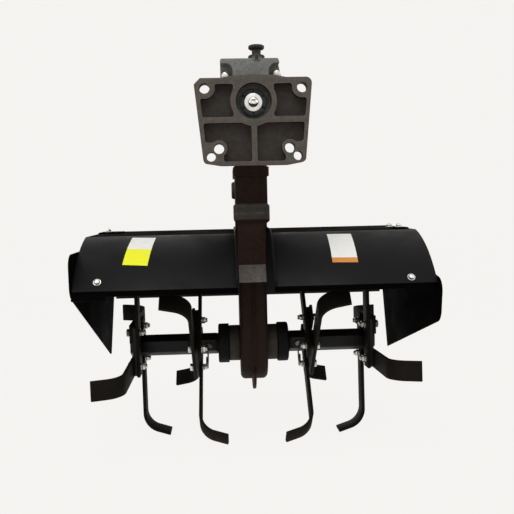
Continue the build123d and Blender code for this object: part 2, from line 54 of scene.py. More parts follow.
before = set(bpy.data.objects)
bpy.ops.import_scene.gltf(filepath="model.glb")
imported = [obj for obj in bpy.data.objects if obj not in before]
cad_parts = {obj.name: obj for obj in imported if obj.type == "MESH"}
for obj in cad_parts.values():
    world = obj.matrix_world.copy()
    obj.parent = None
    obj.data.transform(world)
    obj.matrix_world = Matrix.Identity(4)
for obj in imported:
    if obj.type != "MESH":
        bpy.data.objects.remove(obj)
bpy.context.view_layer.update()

# %% [markdown]
# Every fitting is placed from the solids, so the places that many of them share are measured first: the
# rotor's axis, the hood's flat top, and the circle that the hood's curved front panel follows.

# %% Measure the shared places
def middle(solid):
    """Centre of a solid's box."""
    low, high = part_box(solid)
    return (low + high) / 2


ROTOR = middle("rotor_shaft")
HOOD_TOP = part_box("hood")[1].z
PANEL_CENTRE = ROTOR + Vector((0, -42.9, 5.3)) * MM
PANEL_RADIUS = 186.2 * MM
print("rotor axis:", [round(value, 4) for value in ROTOR], "hood top:", round(HOOD_TOP, 4))

# %% [markdown]
# ## Camera
# The camera stands in front of the plate, a little to the left and below it, and looks very slightly down.
# A constraint could aim it at the plate, but that leaves the roll to chance. Its turn is built from three
# directions instead, because that states yaw, pitch and roll plainly and never flips. The Standard view
# transform shows each paint as the colour that was mixed, with no film look laid over it.

# %% Place the camera
CAMERA_AT = Vector((-38.4, -869.8, -130.4)) * MM
YAW, PITCH, ROLL = radians(2.514), radians(-4.777), radians(-1.274)
LENS = 46.3
FARTHEST = 20           # metres, well past the back wall of the studio

ahead = Vector((sin(YAW) * cos(PITCH), cos(YAW) * cos(PITCH), sin(PITCH)))
level = Vector((cos(YAW), -sin(YAW), 0))
upright = level.cross(ahead)
across = level * cos(ROLL) + upright * sin(ROLL)
up = upright * cos(ROLL) - level * sin(ROLL)
turn = Matrix((across, up, -ahead)).transposed()

camera = bpy.data.objects.new("camera", bpy.data.cameras.new("camera"))
bpy.context.scene.collection.objects.link(camera)
bpy.context.scene.camera = camera
camera.matrix_world = Matrix.Translation(CAMERA_AT) @ turn.to_4x4()
camera.data.lens = LENS
camera.data.clip_end = FARTHEST
bpy.context.scene.view_settings.view_transform = "Standard"
print("lens:", LENS, "at", [round(value, 3) for value in camera.location])

# %% [markdown]
# ## Small helpers for shader nodes
# A material is a small net of nodes. It could be wired line by line, but that buries the idea. One helper
# adds a node, sets its options and fills its sockets, either with a value or with a link, so that each
# recipe below reads from top to bottom like a list of steps. Colours are written as on a paint chart, 0 to
# 255, and turned into the linear numbers that shaders want.

# %% Add a node, multiply, and write a colour
def add(tree, kind, sockets=None, **options):
    """Adds a node, sets its options, and fills its sockets with values or links."""
    made = tree.nodes.new("ShaderNode" + kind)
    for option, value in options.items():
        setattr(made, option, value)
    for socket, value in (sockets or {}).items():
        if isinstance(value, bpy.types.NodeSocket):
            tree.links.new(value, made.inputs[socket])
        else:
            made.inputs[socket].default_value = value
    return made


def times(tree, one, other):
    """The product of two values."""
    return add(tree, "Math", {0: one, 1: other}, operation="MULTIPLY").outputs[0]


def chart(red, green, blue):
    """A paint chart colour as linear red, green, blue and full cover."""
    linear = [((part / 255 + 0.055) / 1.055) ** 2.4 if part > 10 else part / 255 / 12.92
              for part in (red, green, blue)]
    return (*linear, 1)


PALE = chart(247, 245, 243)
print("pale background, linear:", [round(part, 3) for part in PALE[:3]])

# %% [markdown]
# ## Studio
# The tiller stands on its blades on a pale sweep, a floor that bends up into a wall, so no horizon shows.
# Two planes would meet in a visible line, so the sweep is one strip with its corner bevelled round. Rays
# that come straight from the camera, or by way of shiny metal, mostly see a plain pale glow, and the rest
# is an ordinary pale surface that keeps the shadow.

# %% Sweep under and behind the tiller
SWEEP_HALF_WIDTH, SWEEP_FRONT, SWEEP_BACK, SWEEP_HEIGHT, SWEEP_ROUND = 4, -3.5, 2.6, 4, 0.9     # metres
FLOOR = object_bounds()[0].z

sweep = bmesh.new()
profile = [(SWEEP_FRONT, FLOOR), (SWEEP_BACK, FLOOR), (SWEEP_BACK, FLOOR + SWEEP_HEIGHT)]
corners = [sweep.verts.new((-SWEEP_HALF_WIDTH, back, height)) for back, height in profile]
strip = [sweep.edges.new(pair) for pair in zip(corners, corners[1:])]
wide = bmesh.ops.extrude_edge_only(sweep, edges=strip)["geom"]
bmesh.ops.translate(sweep, verts=[part for part in wide if isinstance(part, bmesh.types.BMVert)],
                    vec=(2 * SWEEP_HALF_WIDTH, 0, 0))
fold = [edge for edge in sweep.edges if edge.is_manifold]
bmesh.ops.bevel(sweep, geom=fold, offset=SWEEP_ROUND, segments=16, profile=0.5, affect="EDGES", material=-1)
sweep_mesh = bpy.data.meshes.new("studio_sweep")
sweep.to_mesh(sweep_mesh)
sweep.free()
sweep_mesh.shade_smooth()
studio_sweep = bpy.data.objects.new("studio_sweep", sweep_mesh)
bpy.context.scene.collection.objects.link(studio_sweep)
print("floor height:", round(FLOOR, 4))


# %% Pale backdrop paint
def seen_directly(tree, share):
    """A share for rays from the camera, from shiny metal or through glass, and none for other rays."""
    path = add(tree, "LightPath")
    glossy = add(tree, "Math", {0: path.outputs["Is Camera Ray"], 1: path.outputs["Is Glossy Ray"]},
                 operation="MAXIMUM")
    either = add(tree, "Math", {0: glossy.outputs[0], 1: path.outputs["Is Transmission Ray"]},
                 operation="MAXIMUM")
    return times(tree, either.outputs[0], share)


GLOW_SHARE = 0.96       # the rest shows the shadow under the tiller
backdrop = bpy.data.materials.new("pale_backdrop")
backdrop.use_nodes = True
tree = backdrop.node_tree
tree.nodes.clear()
matt = add(tree, "BsdfDiffuse", {"Color": PALE})
glow = add(tree, "Emission", {"Color": PALE, "Strength": 1.0})
blend = add(tree, "MixShader", {0: seen_directly(tree, GLOW_SHARE), 1: matt.outputs[0], 2: glow.outputs[0]})
add(tree, "OutputMaterial", {"Surface": blend.outputs[0]})
studio_sweep.data.materials.append(backdrop)
print("backdrop:", backdrop.name)

# %% World
AMBIENT = 0.36          # the light that comes from all round
world = bpy.data.worlds.new("studio_world")
bpy.context.scene.world = world
world.use_nodes = True
tree = world.node_tree
tree.nodes.clear()
soft = add(tree, "Background", {"Color": PALE, "Strength": AMBIENT})
plain = add(tree, "Background", {"Color": PALE, "Strength": 1.0})
blend = add(tree, "MixShader", {0: seen_directly(tree, 1.0), 1: soft.outputs[0], 2: plain.outputs[0]})
add(tree, "OutputWorld", {"Surface": blend.outputs[0]})
print("world:", world.name)

# %% [markdown]
# ## Lamps
# Large square lamps stand for soft boxes. A sun would be simpler, but its shadows are hard. The main lamp
# is above and in front, which darkens the upper walls of the plate's pockets, lights sloping faces and
# leaves upright ones plain. Two weaker ones fill the sides.

# %% Three soft boxes
# columns: place in metres, width in metres, watts
SOFT_BOXES = {
    "lamp_above": ((-0.25, -1.3, 1.9), 1.3, 32),
    "lamp_left": ((-2.1, -1.5, 0.4), 1.2, 9),
    "lamp_right": ((2.1, -1.4, 0.5), 1.2, 9),
}
LIT_POINT = Vector((0, 0.1, -0.2))
for name, (place, width, watts) in SOFT_BOXES.items():
    lamp = bpy.data.lights.new(name, "AREA")
    lamp.size, lamp.energy = width, watts
    holder = bpy.data.objects.new(name, lamp)
    bpy.context.scene.collection.objects.link(holder)
    holder.location = place
    holder.rotation_euler = (LIT_POINT - Vector(place)).to_track_quat("-Z", "Y").to_euler()
    print(name, watts, "W")

# %% [markdown]
# ## Effects that several finishes share
# Painted castings, painted sheet and steel all show speckle, rubbed edges and dust, each to its own degree.
# Copying the nodes into every material would work, but a change would then have to be made many times. A
# node group holds each effect once, with named inputs, and every material sets its own amounts.
# - Speckle scales a colour up and down with two sizes of noise, and gives the finer noise as a height.
# - The rubbed edges group compares the true surface with a rounded copy: they differ only near an edge.
# - Dust settles where a surface faces up, in patches.

# %% Start a node group
def new_group(name, inputs, outputs):
    """A shader node group with its sockets, and its input and output nodes."""
    group = bpy.data.node_groups.new(name, "ShaderNodeTree")
    for way, sockets in (("INPUT", inputs), ("OUTPUT", outputs)):
        for label, kind, value in sockets:
            socket = group.interface.new_socket(label, in_out=way, socket_type="NodeSocket" + kind)
            if value is not None:
                socket.default_value = value
    return group, group.nodes.new("NodeGroupInput"), group.nodes.new("NodeGroupOutput")


def noise(tree, pitch, detail=3.0):
    """Noise with blobs about pitch millimetres across, fixed to the piece."""
    place = add(tree, "TexCoord").outputs["Object"]
    return add(tree, "TexNoise", {"Vector": place, "Scale": 1 / (pitch * MM), "Detail": detail}).outputs[0]


def spread(tree, value, low, high, to_low=0.0, to_high=1.0):
    """Maps a value from one span to another and holds it there."""
    return add(tree, "MapRange", {"Value": value, "From Min": low, "From Max": high,
                                  "To Min": to_low, "To Max": to_high}).outputs[0]


# %% Speckle of a casting
speckle, inside, outside = new_group(
    "speckle",
    [("Colour", "Color", (0.5, 0.5, 0.5, 1)), ("Contrast", "Float", 0.15)],
    [("Colour", "Color", None), ("Height", "Float", None)])
BROAD_SHARE = 0.45
DARKEST, PALEST = 0.32, 0.68        # the noise seldom goes past these
fine = noise(speckle, pitch=2.4, detail=4.0)
broad = noise(speckle, pitch=8.0)
both = add(speckle, "Mix", {0: BROAD_SHARE, 2: fine, 3: broad}, data_type="FLOAT").outputs[0]
swing = spread(speckle, both, DARKEST, PALEST, to_low=-1.0)
swing = add(speckle, "Math", {0: swing, 1: inside.outputs["Contrast"], 2: 1.0},
            operation="MULTIPLY_ADD").outputs[0]
tinted = add(speckle, "VectorMath", {0: inside.outputs["Colour"], "Scale": swing}, operation="SCALE")
speckle.links.new(tinted.outputs[0], outside.inputs["Colour"])
speckle.links.new(fine, outside.inputs["Height"])
print("group:", speckle.name, len(speckle.nodes), "nodes")

# %% Rubbed edges
rubbed, inside, outside = new_group(
    "rubbed_edges",
    [("Width", "Float", 1.5), ("Amount", "Float", 0.5)],
    [("Mask", "Float", None)])
FLAT_LIKENESS, EDGE_LIKENESS = 0.985, 0.90
reach = times(rubbed, inside.outputs["Width"], MM)
rounded = add(rubbed, "Bevel", {"Radius": reach}, samples=4).outputs[0]
true = add(rubbed, "NewGeometry").outputs["Normal"]
likeness = add(rubbed, "VectorMath", {0: rounded, 1: true}, operation="DOT_PRODUCT").outputs["Value"]
edge = spread(rubbed, likeness, FLAT_LIKENESS, EDGE_LIKENESS)
patches = spread(rubbed, noise(rubbed, pitch=6.0, detail=4.0), 0.35, 0.6)
mask = times(rubbed, times(rubbed, edge, patches), inside.outputs["Amount"])
rubbed.links.new(mask, outside.inputs["Mask"])
print("group:", rubbed.name, len(rubbed.nodes), "nodes")

# %% Settled dust
dust, inside, outside = new_group(
    "settled_dust", [("Amount", "Float", 0.3)], [("Mask", "Float", None)])
STEEPEST = 0.15         # dust slides off a surface that faces up less than this
facing = add(dust, "SeparateXYZ", {0: add(dust, "NewGeometry").outputs["Normal"]}).outputs["Z"]
facing = spread(dust, facing, STEEPEST, 1.0)
patches = spread(dust, noise(dust, pitch=22.0, detail=5.0), 0.3, 0.7, to_low=0.4)
mask = times(dust, times(dust, facing, patches), inside.outputs["Amount"])
dust.links.new(mask, outside.inputs["Mask"])
print("group:", dust.name, len(dust.nodes), "nodes")


# %% [markdown]
# ## Paint on castings
# Sand-cast iron and aluminium keep the grain of the sand under their paint. The paint is matt, thinner and
# paler on edges that get rubbed, and dusty on top. Each casting could have a material of its own design,
# but they come from one foundry and differ only in colour and care. So one recipe makes all their finishes,
# and its colours and amounts change: brown-grey on the plate, pale grey on the gear housing, dark brown on
# the leg.

# %% Recipe for a painted casting
finishes = {}           # every material of the tiller, by its name


def start_material(name, roughness, gloss, metallic=0.0):
    """Puts a new material among the finishes, with the numbers that are the same all over.

    Gives its tree of nodes and its shader.
    """
    material = finishes[name] = bpy.data.materials.new(name)
    material.use_nodes = True
    tree = material.node_tree
    shader = tree.nodes["Principled BSDF"]
    shader.inputs["Roughness"].default_value = roughness
    shader.inputs["Specular IOR Level"].default_value = gloss
    shader.inputs["Metallic"].default_value = metallic
    return tree, shader


def over(tree, mask, below, above):
    """Lays one colour over another where the mask is white."""
    return add(tree, "Mix", {0: mask, 6: below, 7: above}, data_type="RGBA").outputs[2]


DUST_COLOUR = chart(128, 121, 111)
CASTING_ROUGHNESS, SMOOTHER, ROUGHER = 0.62, 0.1, 0.12
GRAIN_DEPTH = 0.4 * MM


def casting_paint(name, colour, worn, contrast, wear, rub, dusty, gloss):
    """Matt paint over a sandy casting."""
    tree, shader = start_material(name, CASTING_ROUGHNESS, gloss)
    grain = add(tree, "Group", {"Colour": colour, "Contrast": contrast}, node_tree=speckle)
    edges = add(tree, "Group", {"Width": rub, "Amount": wear}, node_tree=rubbed)
    settled = add(tree, "Group", {"Amount": dusty}, node_tree=dust)
    skin = over(tree, edges.outputs[0], grain.outputs["Colour"], worn)
    skin = over(tree, settled.outputs[0], skin, DUST_COLOUR)
    tree.links.new(skin, shader.inputs["Base Color"])
    shine = spread(tree, grain.outputs["Height"], 0.3, 0.7,
                   CASTING_ROUGHNESS - SMOOTHER, CASTING_ROUGHNESS + ROUGHER)
    tree.links.new(shine, shader.inputs["Roughness"])
    pits = add(tree, "Bump", {"Strength": 0.4, "Distance": GRAIN_DEPTH, "Height": grain.outputs["Height"]})
    tree.links.new(pits.outputs[0], shader.inputs["Normal"])


print("casting recipe is ready")

# %% The castings' finishes
# columns: colour, worn colour, speckle's contrast, wear at edges, its width in mm, dust, specular level
CASTING_PAINTS = {
    "plate_paint": (chart(79, 73, 67), chart(104, 97, 90), 0.34, 0.5, 1.6, 0.2, 0.2),
    # painted shade in the plate's pockets: their floors, and their walls that don't face up
    "pocket_shade_paint": (chart(50, 46, 42), chart(86, 80, 74), 0.4, 0.3, 1.6, 0.3, 0.15),
    "shaded_paint": (chart(30, 27, 24), chart(40, 36, 32), 0.1, 0.0, 1.6, 0.0, 0.0),
    "housing_paint": (chart(114, 116, 111), chart(138, 140, 135), 0.3, 0.4, 1.6, 0.25, 0.2),
    "leg_paint": (chart(34, 22, 18), chart(54, 45, 40), 0.5, 0.4, 1.6, 0.08, 0.08),
    "neck_paint": (chart(58, 41, 34), chart(82, 66, 58), 0.3, 0.4, 1.6, 0.05, 0.1),
    # painted light: the leg's lower collar and its sloping shoulder, paler than the leg
    "collar_light_paint": (chart(57, 54, 50), chart(112, 108, 101), 0.4, 1.0, 3.5, 0.1, 0.15),
    "shoulder_light_paint": (chart(149, 145, 138), chart(180, 176, 168), 0.35, 0.7, 3.0, 0.25, 0.2),
    "case_paint": (chart(36, 24, 19), chart(62, 48, 42), 0.3, 0.5, 1.6, 0.03, 0.1),
    "hub_paint": (chart(55, 51, 46), chart(84, 80, 74), 0.35, 0.3, 1.6, 0.03, 0.25),
    "cap_paint": (chart(9, 8, 7), chart(34, 32, 31), 0.15, 0.35, 1.6, 0.02, 0.12),
}
for name, numbers in CASTING_PAINTS.items():
    casting_paint(name, *numbers)
print("casting finishes:", sorted(finishes))


# %% [markdown]
# ## Black sheet, rotor and blades
# The hood is sheet steel under black powder coat: a fine orange peel, faint smears where hands and soil
# rubbed it, and thin worn edges. The rotor has the same black with clearer smears, and the blades are
# dipped in black paint that soil has begun to strip at the edges. Plain black would look like a hole, so
# the smears move the colour and the gloss a little, with one slow noise for both.

# %% Recipe for black coats on steel
PEEL_DEPTH = 0.15 * MM
SHINIER, DULLER = 0.06, 0.16


def black_coat(name, colour, smear, worn, smears=0.5, peel=0.12, roughness=0.42, gloss=0.2, wear=0.35):
    """Black paint with smears, orange peel and worn edges."""
    tree, shader = start_material(name, roughness, gloss)
    cloud = noise(tree, pitch=55.0)
    smeared = spread(tree, cloud, 0.48, 0.66, to_high=smears)
    edges = add(tree, "Group", {"Width": 1.0, "Amount": wear}, node_tree=rubbed)
    skin = over(tree, smeared, colour, smear)
    skin = over(tree, edges.outputs[0], skin, worn)
    tree.links.new(skin, shader.inputs["Base Color"])
    shine = spread(tree, cloud, 0.35, 0.7, roughness - SHINIER, roughness + DULLER)
    tree.links.new(shine, shader.inputs["Roughness"])
    ripple = add(tree, "Bump", {"Strength": peel, "Distance": PEEL_DEPTH,
                                "Height": noise(tree, pitch=1.4, detail=2.0)})
    tree.links.new(ripple.outputs[0], shader.inputs["Normal"])


print("black recipe is ready")

# %% The black coats
# columns: colour, smeared colour, worn colour, what differs from an ordinary coat
BLACK_COATS = {
    "hood_paint": (chart(22, 22, 23), chart(17, 17, 17), chart(50, 48, 46), {"smears": 0.2, "gloss": 0.07}),
    "strip_paint": (chart(17, 17, 18), chart(15, 15, 15), chart(26, 25, 24), {"gloss": 0.05, "wear": 0.1}),
    # matt_black also paints shade on the hood's flat top and folded lip
    "matt_black": (chart(4, 4, 4), chart(6, 6, 6), chart(20, 19, 18),
                   {"peel": 0.05, "roughness": 0.75, "gloss": 0.01}),
    "rotor_paint": (chart(9, 9, 9), chart(20, 19, 18), chart(48, 46, 44), {"wear": 0.3}),
    "tine_paint": (chart(25, 22, 19), chart(35, 31, 28), chart(56, 52, 48),
                   {"wear": 0.3, "roughness": 0.6, "gloss": 0.04}),
}
for name, (colour, smear, worn, differences) in BLACK_COATS.items():
    black_coat(name, colour, smear, worn, **differences)
print("black coats:", sorted(BLACK_COATS))


# %% [markdown]
# ## Bare metal, plastic and stickers
# Zinc plating is bright with cloudy roughness, and the shaft's turned end is brighter still, with smaller
# clouds. The dog ring is dark oiled steel, the plug moulded plastic. They need no worn edges, so a shorter
# recipe does: one cloud moves colour and gloss together. Stickers are plain glossy film in one colour each,
# with nothing printed on them.

# %% Recipe for metal and plastic
MARK_DEPTH = 0.1 * MM


def bare_metal(name, colour, dull, roughness, pitch=9.0, metallic=1.0, gloss=0.5, bump=0.1):
    """Metal or plastic whose colour and gloss change in clouds."""
    tree, shader = start_material(name, roughness, gloss, metallic)
    cloud = noise(tree, pitch, detail=4.0)
    skin = over(tree, spread(tree, cloud, 0.4, 0.7), colour, dull)
    tree.links.new(skin, shader.inputs["Base Color"])
    shine = spread(tree, cloud, 0.3, 0.7, roughness * 0.75, roughness * 1.4)
    tree.links.new(shine, shader.inputs["Roughness"])
    marks = add(tree, "Bump", {"Strength": bump, "Distance": MARK_DEPTH, "Height": noise(tree, pitch=0.8)})
    tree.links.new(marks.outputs[0], shader.inputs["Normal"])


print("metal recipe is ready")

# %% Zinc, turned steel, oiled steel and plastic
# columns: colour, dull colour, roughness, what differs from ordinary metal
METALS = {
    "zinc_plate": (chart(226, 226, 222), chart(186, 184, 178), 0.3, {}),
    "turned_steel": (chart(232, 231, 228), chart(205, 203, 198), 0.26, {"pitch": 5.0}),
    # the dark oiled steel also paints shade on the shaft's spigot and on the hood screws' domes
    "oiled_steel_and_shade": (chart(26, 26, 27), chart(12, 12, 13), 0.42, {"metallic": 0.0, "gloss": 0.35}),
    "spring_steel": (chart(110, 106, 100), chart(36, 34, 32), 0.34, {}),
    "plug_plastic": (chart(33, 26, 23), chart(20, 16, 14), 0.45,
                     {"metallic": 0.0, "gloss": 0.3, "bump": 0.2}),
}
for name, (colour, dull, roughness, differences) in METALS.items():
    bare_metal(name, colour, dull, roughness, **differences)
print("metals and plastic:", sorted(METALS))


# %% Recipe for sticker film
FADED_COLOUR = chart(205, 200, 188)


def sticker_film(name, colour):
    """Glossy film, a little faded in patches."""
    tree, shader = start_material(name, roughness=0.35, gloss=0.3)
    faded = spread(tree, noise(tree, pitch=9.0), 0.5, 0.8, to_high=0.25)
    tree.links.new(over(tree, faded, colour, FADED_COLOUR), shader.inputs["Base Color"])


print("film recipe is ready")


# %% [markdown]
# ## Soft edges
# A solid modeller leaves knife edges, and real castings and bent sheet have none. A Bevel modifier would
# work on a copy too, but the loaded solids are loose triangles. So each one is copied, its triangles merged
# and its flat faces joined, and every sharp edge is bevelled by a width that suits how the piece is made.

# %% Put a mesh into the scene
def piece(name, bm, coats, body="frame", sharp=38):
    """Makes an object from a bmesh, shades it smooth except at sharp edges, and lets it ride on a body.

    coats names its finishes, in the order in which its faces count them.
    """
    mesh = bpy.data.meshes.new(name)
    bm.to_mesh(mesh)
    bm.free()
    for coat in coats:
        mesh.materials.append(finishes[coat])
    mesh.shade_smooth()
    mesh.set_sharp_from_angle(angle=radians(sharp))
    made = bpy.data.objects.new(name, mesh)
    bpy.context.scene.collection.objects.link(made)
    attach(made, body)
    print(name, len(mesh.polygons), "faces")
    return made


# %% Merge a solid and bevel it
SAME_PLACE = 0.01 * MM      # corners nearer than this are one
SAME_PLANE = radians(0.8)   # faces nearer to flat than this are one
CAST_ROUND = 3.2            # width of the wide round that a casting keeps in its hollows


def merged(solid):
    """The solid's mesh, as one closed skin with its flat faces joined."""
    bm = bmesh.new()
    bm.from_mesh(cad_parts[solid].data)
    bmesh.ops.remove_doubles(bm, verts=bm.verts, dist=SAME_PLACE)
    bmesh.ops.dissolve_limit(bm, angle_limit=SAME_PLANE, verts=bm.verts, edges=bm.edges)
    for face in bm.faces:
        face.material_index = 0
    return bm


def soften(bm, width, segments=2, angle=30, chosen=None):
    """Bevels the edges that are sharper than an angle, or only those chosen among them."""
    edges = [edge for edge in bm.edges
             if edge.is_manifold and edge.calc_face_angle(0) > radians(angle)
             and (not chosen or chosen(edge))]
    bmesh.ops.bevel(bm, geom=edges, offset=width * MM, segments=segments, profile=0.5, affect="EDGES",
                    material=-1, clamp_overlap=True)


# %% Dress one solid
def split(bm, place, facing):
    """Divides the faces along a plane and keeps both sides."""
    bmesh.ops.bisect_plane(bm, geom=[*bm.verts, *bm.edges, *bm.faces], plane_co=place, plane_no=facing)


def dressed(solid, coats, width, segments=2, body="frame",
            hollow=None, level=None, reshape=None, recolour=None):
    """A softened copy that stands for the solid.

    hollow picks the edges that get a wide round before the others are bevelled. level is a height at which
    faces are divided. reshape gives each corner its new place. recolour gives each face its coat's number.
    """
    bm = merged(solid)
    if hollow:
        soften(bm, CAST_ROUND, 5, chosen=hollow)
    soften(bm, width, segments)
    if level:
        split(bm, (0, 0, level), (0, 0, 1))
    if reshape:
        for vert in bm.verts:
            vert.co = reshape(vert.co)
    if recolour:
        bm.normal_update()
        for face in bm.faces:
            face.material_index = recolour(face.calc_center_median() / MM, face.normal)
    made = piece(solid + "_dressed", bm, coats, body)
    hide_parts(solid)
    return made


# %% [markdown]
# ## Castings
# The plate has a paler face and darker pocket floors, and the leg's lower collar and sloping shoulder are
# paler than its sides. The dark pocket floors and the pockets' walls that don't face up are painted shade,
# and the pale collar and shoulder are painted light. A second mesh over the first would leave a seam. So
# the painted shade and light are part of the paint, and each face takes its own material, by where it lies
# in millimetres and which way it faces.

# %% Flange plate
POCKET_FLOOR = 10       # behind the mounting face
WALL_TOP, WALL_FOOT, FLOOR_BACK = 1.0, 8.9, 10.5
HIGHEST_SHADED = 0.3    # walls that face up more than this catch the light


def plate_faces(at, normal):
    """1 for the pockets' floors and 2 for their walls that don't face up, both painted shade, 0 for the
    rest.
    """
    if POCKET_FLOOR - 1 < at.y < FLOOR_BACK:
        return 1
    wall = WALL_TOP < at.y < WALL_FOOT and abs(normal.y) < 0.5
    return 2 if wall and normal.z < HIGHEST_SHADED else 0


def pocket_foot(edge):
    """Whether an edge is where a pocket's wall meets its floor."""
    return all(abs(vert.co.y / MM - POCKET_FLOOR) < 0.2 for vert in edge.verts)


dressed("flange_plate", ["plate_paint", "pocket_shade_paint", "shaded_paint"], 1.4, 3,
        recolour=plate_faces, hollow=pocket_foot)

# %% Gear housing and its rear cover
FOOT_TOP = -57          # the leg's dark paint reaches up to here
BOSS_AT, BOSS_RADIUS, BOSS_FOOT = Vector((6, 27)), 12, 58.3


def housing_faces(at, normal):
    """1 for the foot under the drum, 2 for the boss round the filler plug, which takes the pockets' darker
    paint, 0 for the rest.
    """
    if at.z < FOOT_TOP:
        return 1
    return 2 if at.z > BOSS_FOOT and (at.xy - BOSS_AT).length < BOSS_RADIUS else 0


dressed("bevel_housing", ["housing_paint", "leg_paint", "pocket_shade_paint"], 1.6, 3,
        recolour=housing_faces)
dressed("rear_cover", ["housing_paint"], 1.5, 3)

# %% Leg
COLLAR_BOTTOM, COLLAR_TOP = -157, -120
COLLAR_FRONT, COLLAR_REAR = 146, 270
NECK_TOP, SHOULDER_TOP = -166, -230


def leg_faces(at, normal):
    """1 for the collar's front and rear and 2 for the sloping shoulder, both painted light, 3 for the neck,
    0 for the rest.
    """
    if at.z < SHOULDER_TOP and normal.z > 0.2:
        return 2
    outer = abs(normal.y) > 0.5 and not COLLAR_FRONT <= at.y <= COLLAR_REAR
    if COLLAR_BOTTOM < at.z < COLLAR_TOP and outer:
        return 1
    return 3 if at.z < NECK_TOP else 0


LEG_COATS = ["leg_paint", "collar_light_paint", "shoulder_light_paint", "neck_paint"]
dressed("leg_column", LEG_COATS, 1.6, 3, recolour=leg_faces)
dressed("leg_neck", LEG_COATS, 1.6, 3, recolour=leg_faces, level=COLLAR_BOTTOM * MM)

# %% Drive case and bearings
SIDES = ("left", "right")
dressed("keel_fin", ["case_paint"], 1.0)
for side in SIDES:
    dressed("gearcase_" + side, ["case_paint"], 1.2)
    dressed("bearing_hub_" + side, ["hub_paint"], 1.5)
    dressed("bearing_cap_" + side, ["cap_paint"], 1.5, 3)

# %% [markdown]
# ## Hood
# The hood is bent from one sheet. Its front edge is folded back under the curved panel, which stiffens it.
# A strip could be added for the fold, but sheet has no seam there. So the faces are divided where the fold
# starts, and the corners below are moved back, the lower ones further. The folded lip and the flat top take
# a near-black matt paint, which is painted shade.

# %% Hood, end plates and their brackets
LIP_TOP = ROTOR.z + 117.5 * MM
LIP_LEAN = 0.9          # millimetres back for each millimetre down
FACES_UP = 0.97


def folded_lip(at):
    """Moves what lies below the fold at the front back under the panel."""
    below = LIP_TOP - at.z
    return at + Vector((0, LIP_LEAN * below, 0)) if below > 0 and at.y < ROTOR.y else at


def hood_shade_faces(at, normal):
    """1 for the flat top and the folded lip, painted near-black and matt as shade, 0 for the rest."""
    lip = at.z * MM < LIP_TOP and at.y * MM < ROTOR.y
    return 1 if normal.z > FACES_UP or lip else 0


dressed("hood", ["hood_paint", "matt_black"], 0.7, recolour=hood_shade_faces, level=LIP_TOP,
        reshape=folded_lip)
for side in SIDES:
    dressed("side_plate_" + side, ["matt_black"], 0.8)
    dressed("hood_bracket_" + side, ["strip_paint"], 0.6)
    dressed("end_bracket_" + side, ["matt_black"], 0.6)

# %% [markdown]
# ## Rotor
# Two hexagon tubes slide on the shaft, each with two square flanges. Each flange carries four blades, two
# on each face, so every one of its four bolts holds two shanks. The blades' names tell where they point at
# rest. All are flat steel with rolled edges, so one narrow bevel suits them.

# %% Shaft, tubes, flanges and blades
# how far each flange is turned on the shaft, in degrees
FLANGES = {"left_outer": 1, "left_inner": -45, "right_inner": -45, "right_outer": -4}
dressed("rotor_shaft", ["rotor_paint"], 0.8, body="rotor")
for side in SIDES:
    dressed("hex_tube_" + side, ["rotor_paint"], 0.8, body="rotor")
for place in FLANGES:
    dressed("tine_flange_" + place, ["rotor_paint"], 0.8, body="rotor")
    for way in ("front", "down", "rear", "up"):
        dressed(f"tine_{place}_{way}", ["tine_paint"], 0.9, body="rotor")


# %% [markdown]
# ## Turned and hexagonal fittings
# Bolts, nuts and plugs are all round or six-sided. A round shape is half its outline spun about an axis,
# which gives exact rims and needs few numbers. A hexagon head is a six-sided prism whose rims are bevelled.
# Each fitting is made standing on the origin along Z, then laid into one mesh per group of fittings,
# because a separate object for every washer would make a long list that nobody can read.

# %% Spin an outline, and lay a shape in place
def spun(outline, steps=24):
    """A round solid from (radius, height) points in millimetres, closed where they meet the axis."""
    bm = bmesh.new()
    line = [bm.verts.new((radius * MM, 0, height * MM)) for radius, height in outline]
    edges = [bm.edges.new(pair) for pair in zip(line, line[1:])]
    bmesh.ops.spin(bm, geom=line + edges, cent=(0, 0, 0), axis=(0, 0, 1), angle=2 * pi, steps=steps,
                   use_merge=True)
    bmesh.ops.remove_doubles(bm, verts=bm.verts, dist=0.001 * MM)
    bmesh.ops.recalc_face_normals(bm, faces=bm.faces)
    return bm


def lay(whole, part, at, axis, twist=0.0):
    """Moves a part from the origin to a place, its Z along an axis, and adds it to a bigger mesh."""
    turn = Vector(axis).to_track_quat("Z", "Y").to_matrix().to_4x4() @ Matrix.Rotation(twist, 4, "Z")
    bmesh.ops.transform(part, matrix=Matrix.Translation(at) @ turn, verts=part.verts)
    passing = bpy.data.meshes.new("passing")
    part.to_mesh(passing)
    part.free()
    whole.from_mesh(passing)
    bpy.data.meshes.remove(passing)


# %% Hexagons and washers
def six_sided(low_radius, high_radius, low, high, rim):
    """A six-sided prism or stump with softened rims."""
    bm = bmesh.new()
    bmesh.ops.create_cone(bm, cap_ends=True, segments=6, radius1=low_radius * MM, radius2=high_radius * MM,
                          depth=(high - low) * MM)
    bmesh.ops.translate(bm, verts=bm.verts, vec=(0, 0, (low + high) / 2 * MM))
    bmesh.ops.bevel(bm, geom=list(bm.edges), offset=rim * MM, segments=2, profile=0.5, affect="EDGES",
                    material=-1)
    return bm


def hexagon(across_flats, low, high):
    """The head of a bolt, or a nut."""
    radius = across_flats / 2 / cos(pi / 6)
    return six_sided(radius, radius, low, high, 0.5)


def washer(radius, low, high):
    """A disc with chamfered rims."""
    rim = 0.3
    return spun([(0, low), (radius - rim, low), (radius, low + rim), (radius, high - rim),
                 (radius - rim, high), (0, high)])


def lay_hexagon(whole, at, axis, twist, disc, thick, across_flats, top):
    """Lays a washer and the bolt head or nut that stands on it."""
    lay(whole, washer(disc, 0, thick), at, axis)
    lay(whole, hexagon(across_flats, thick, top), at, axis, twist)


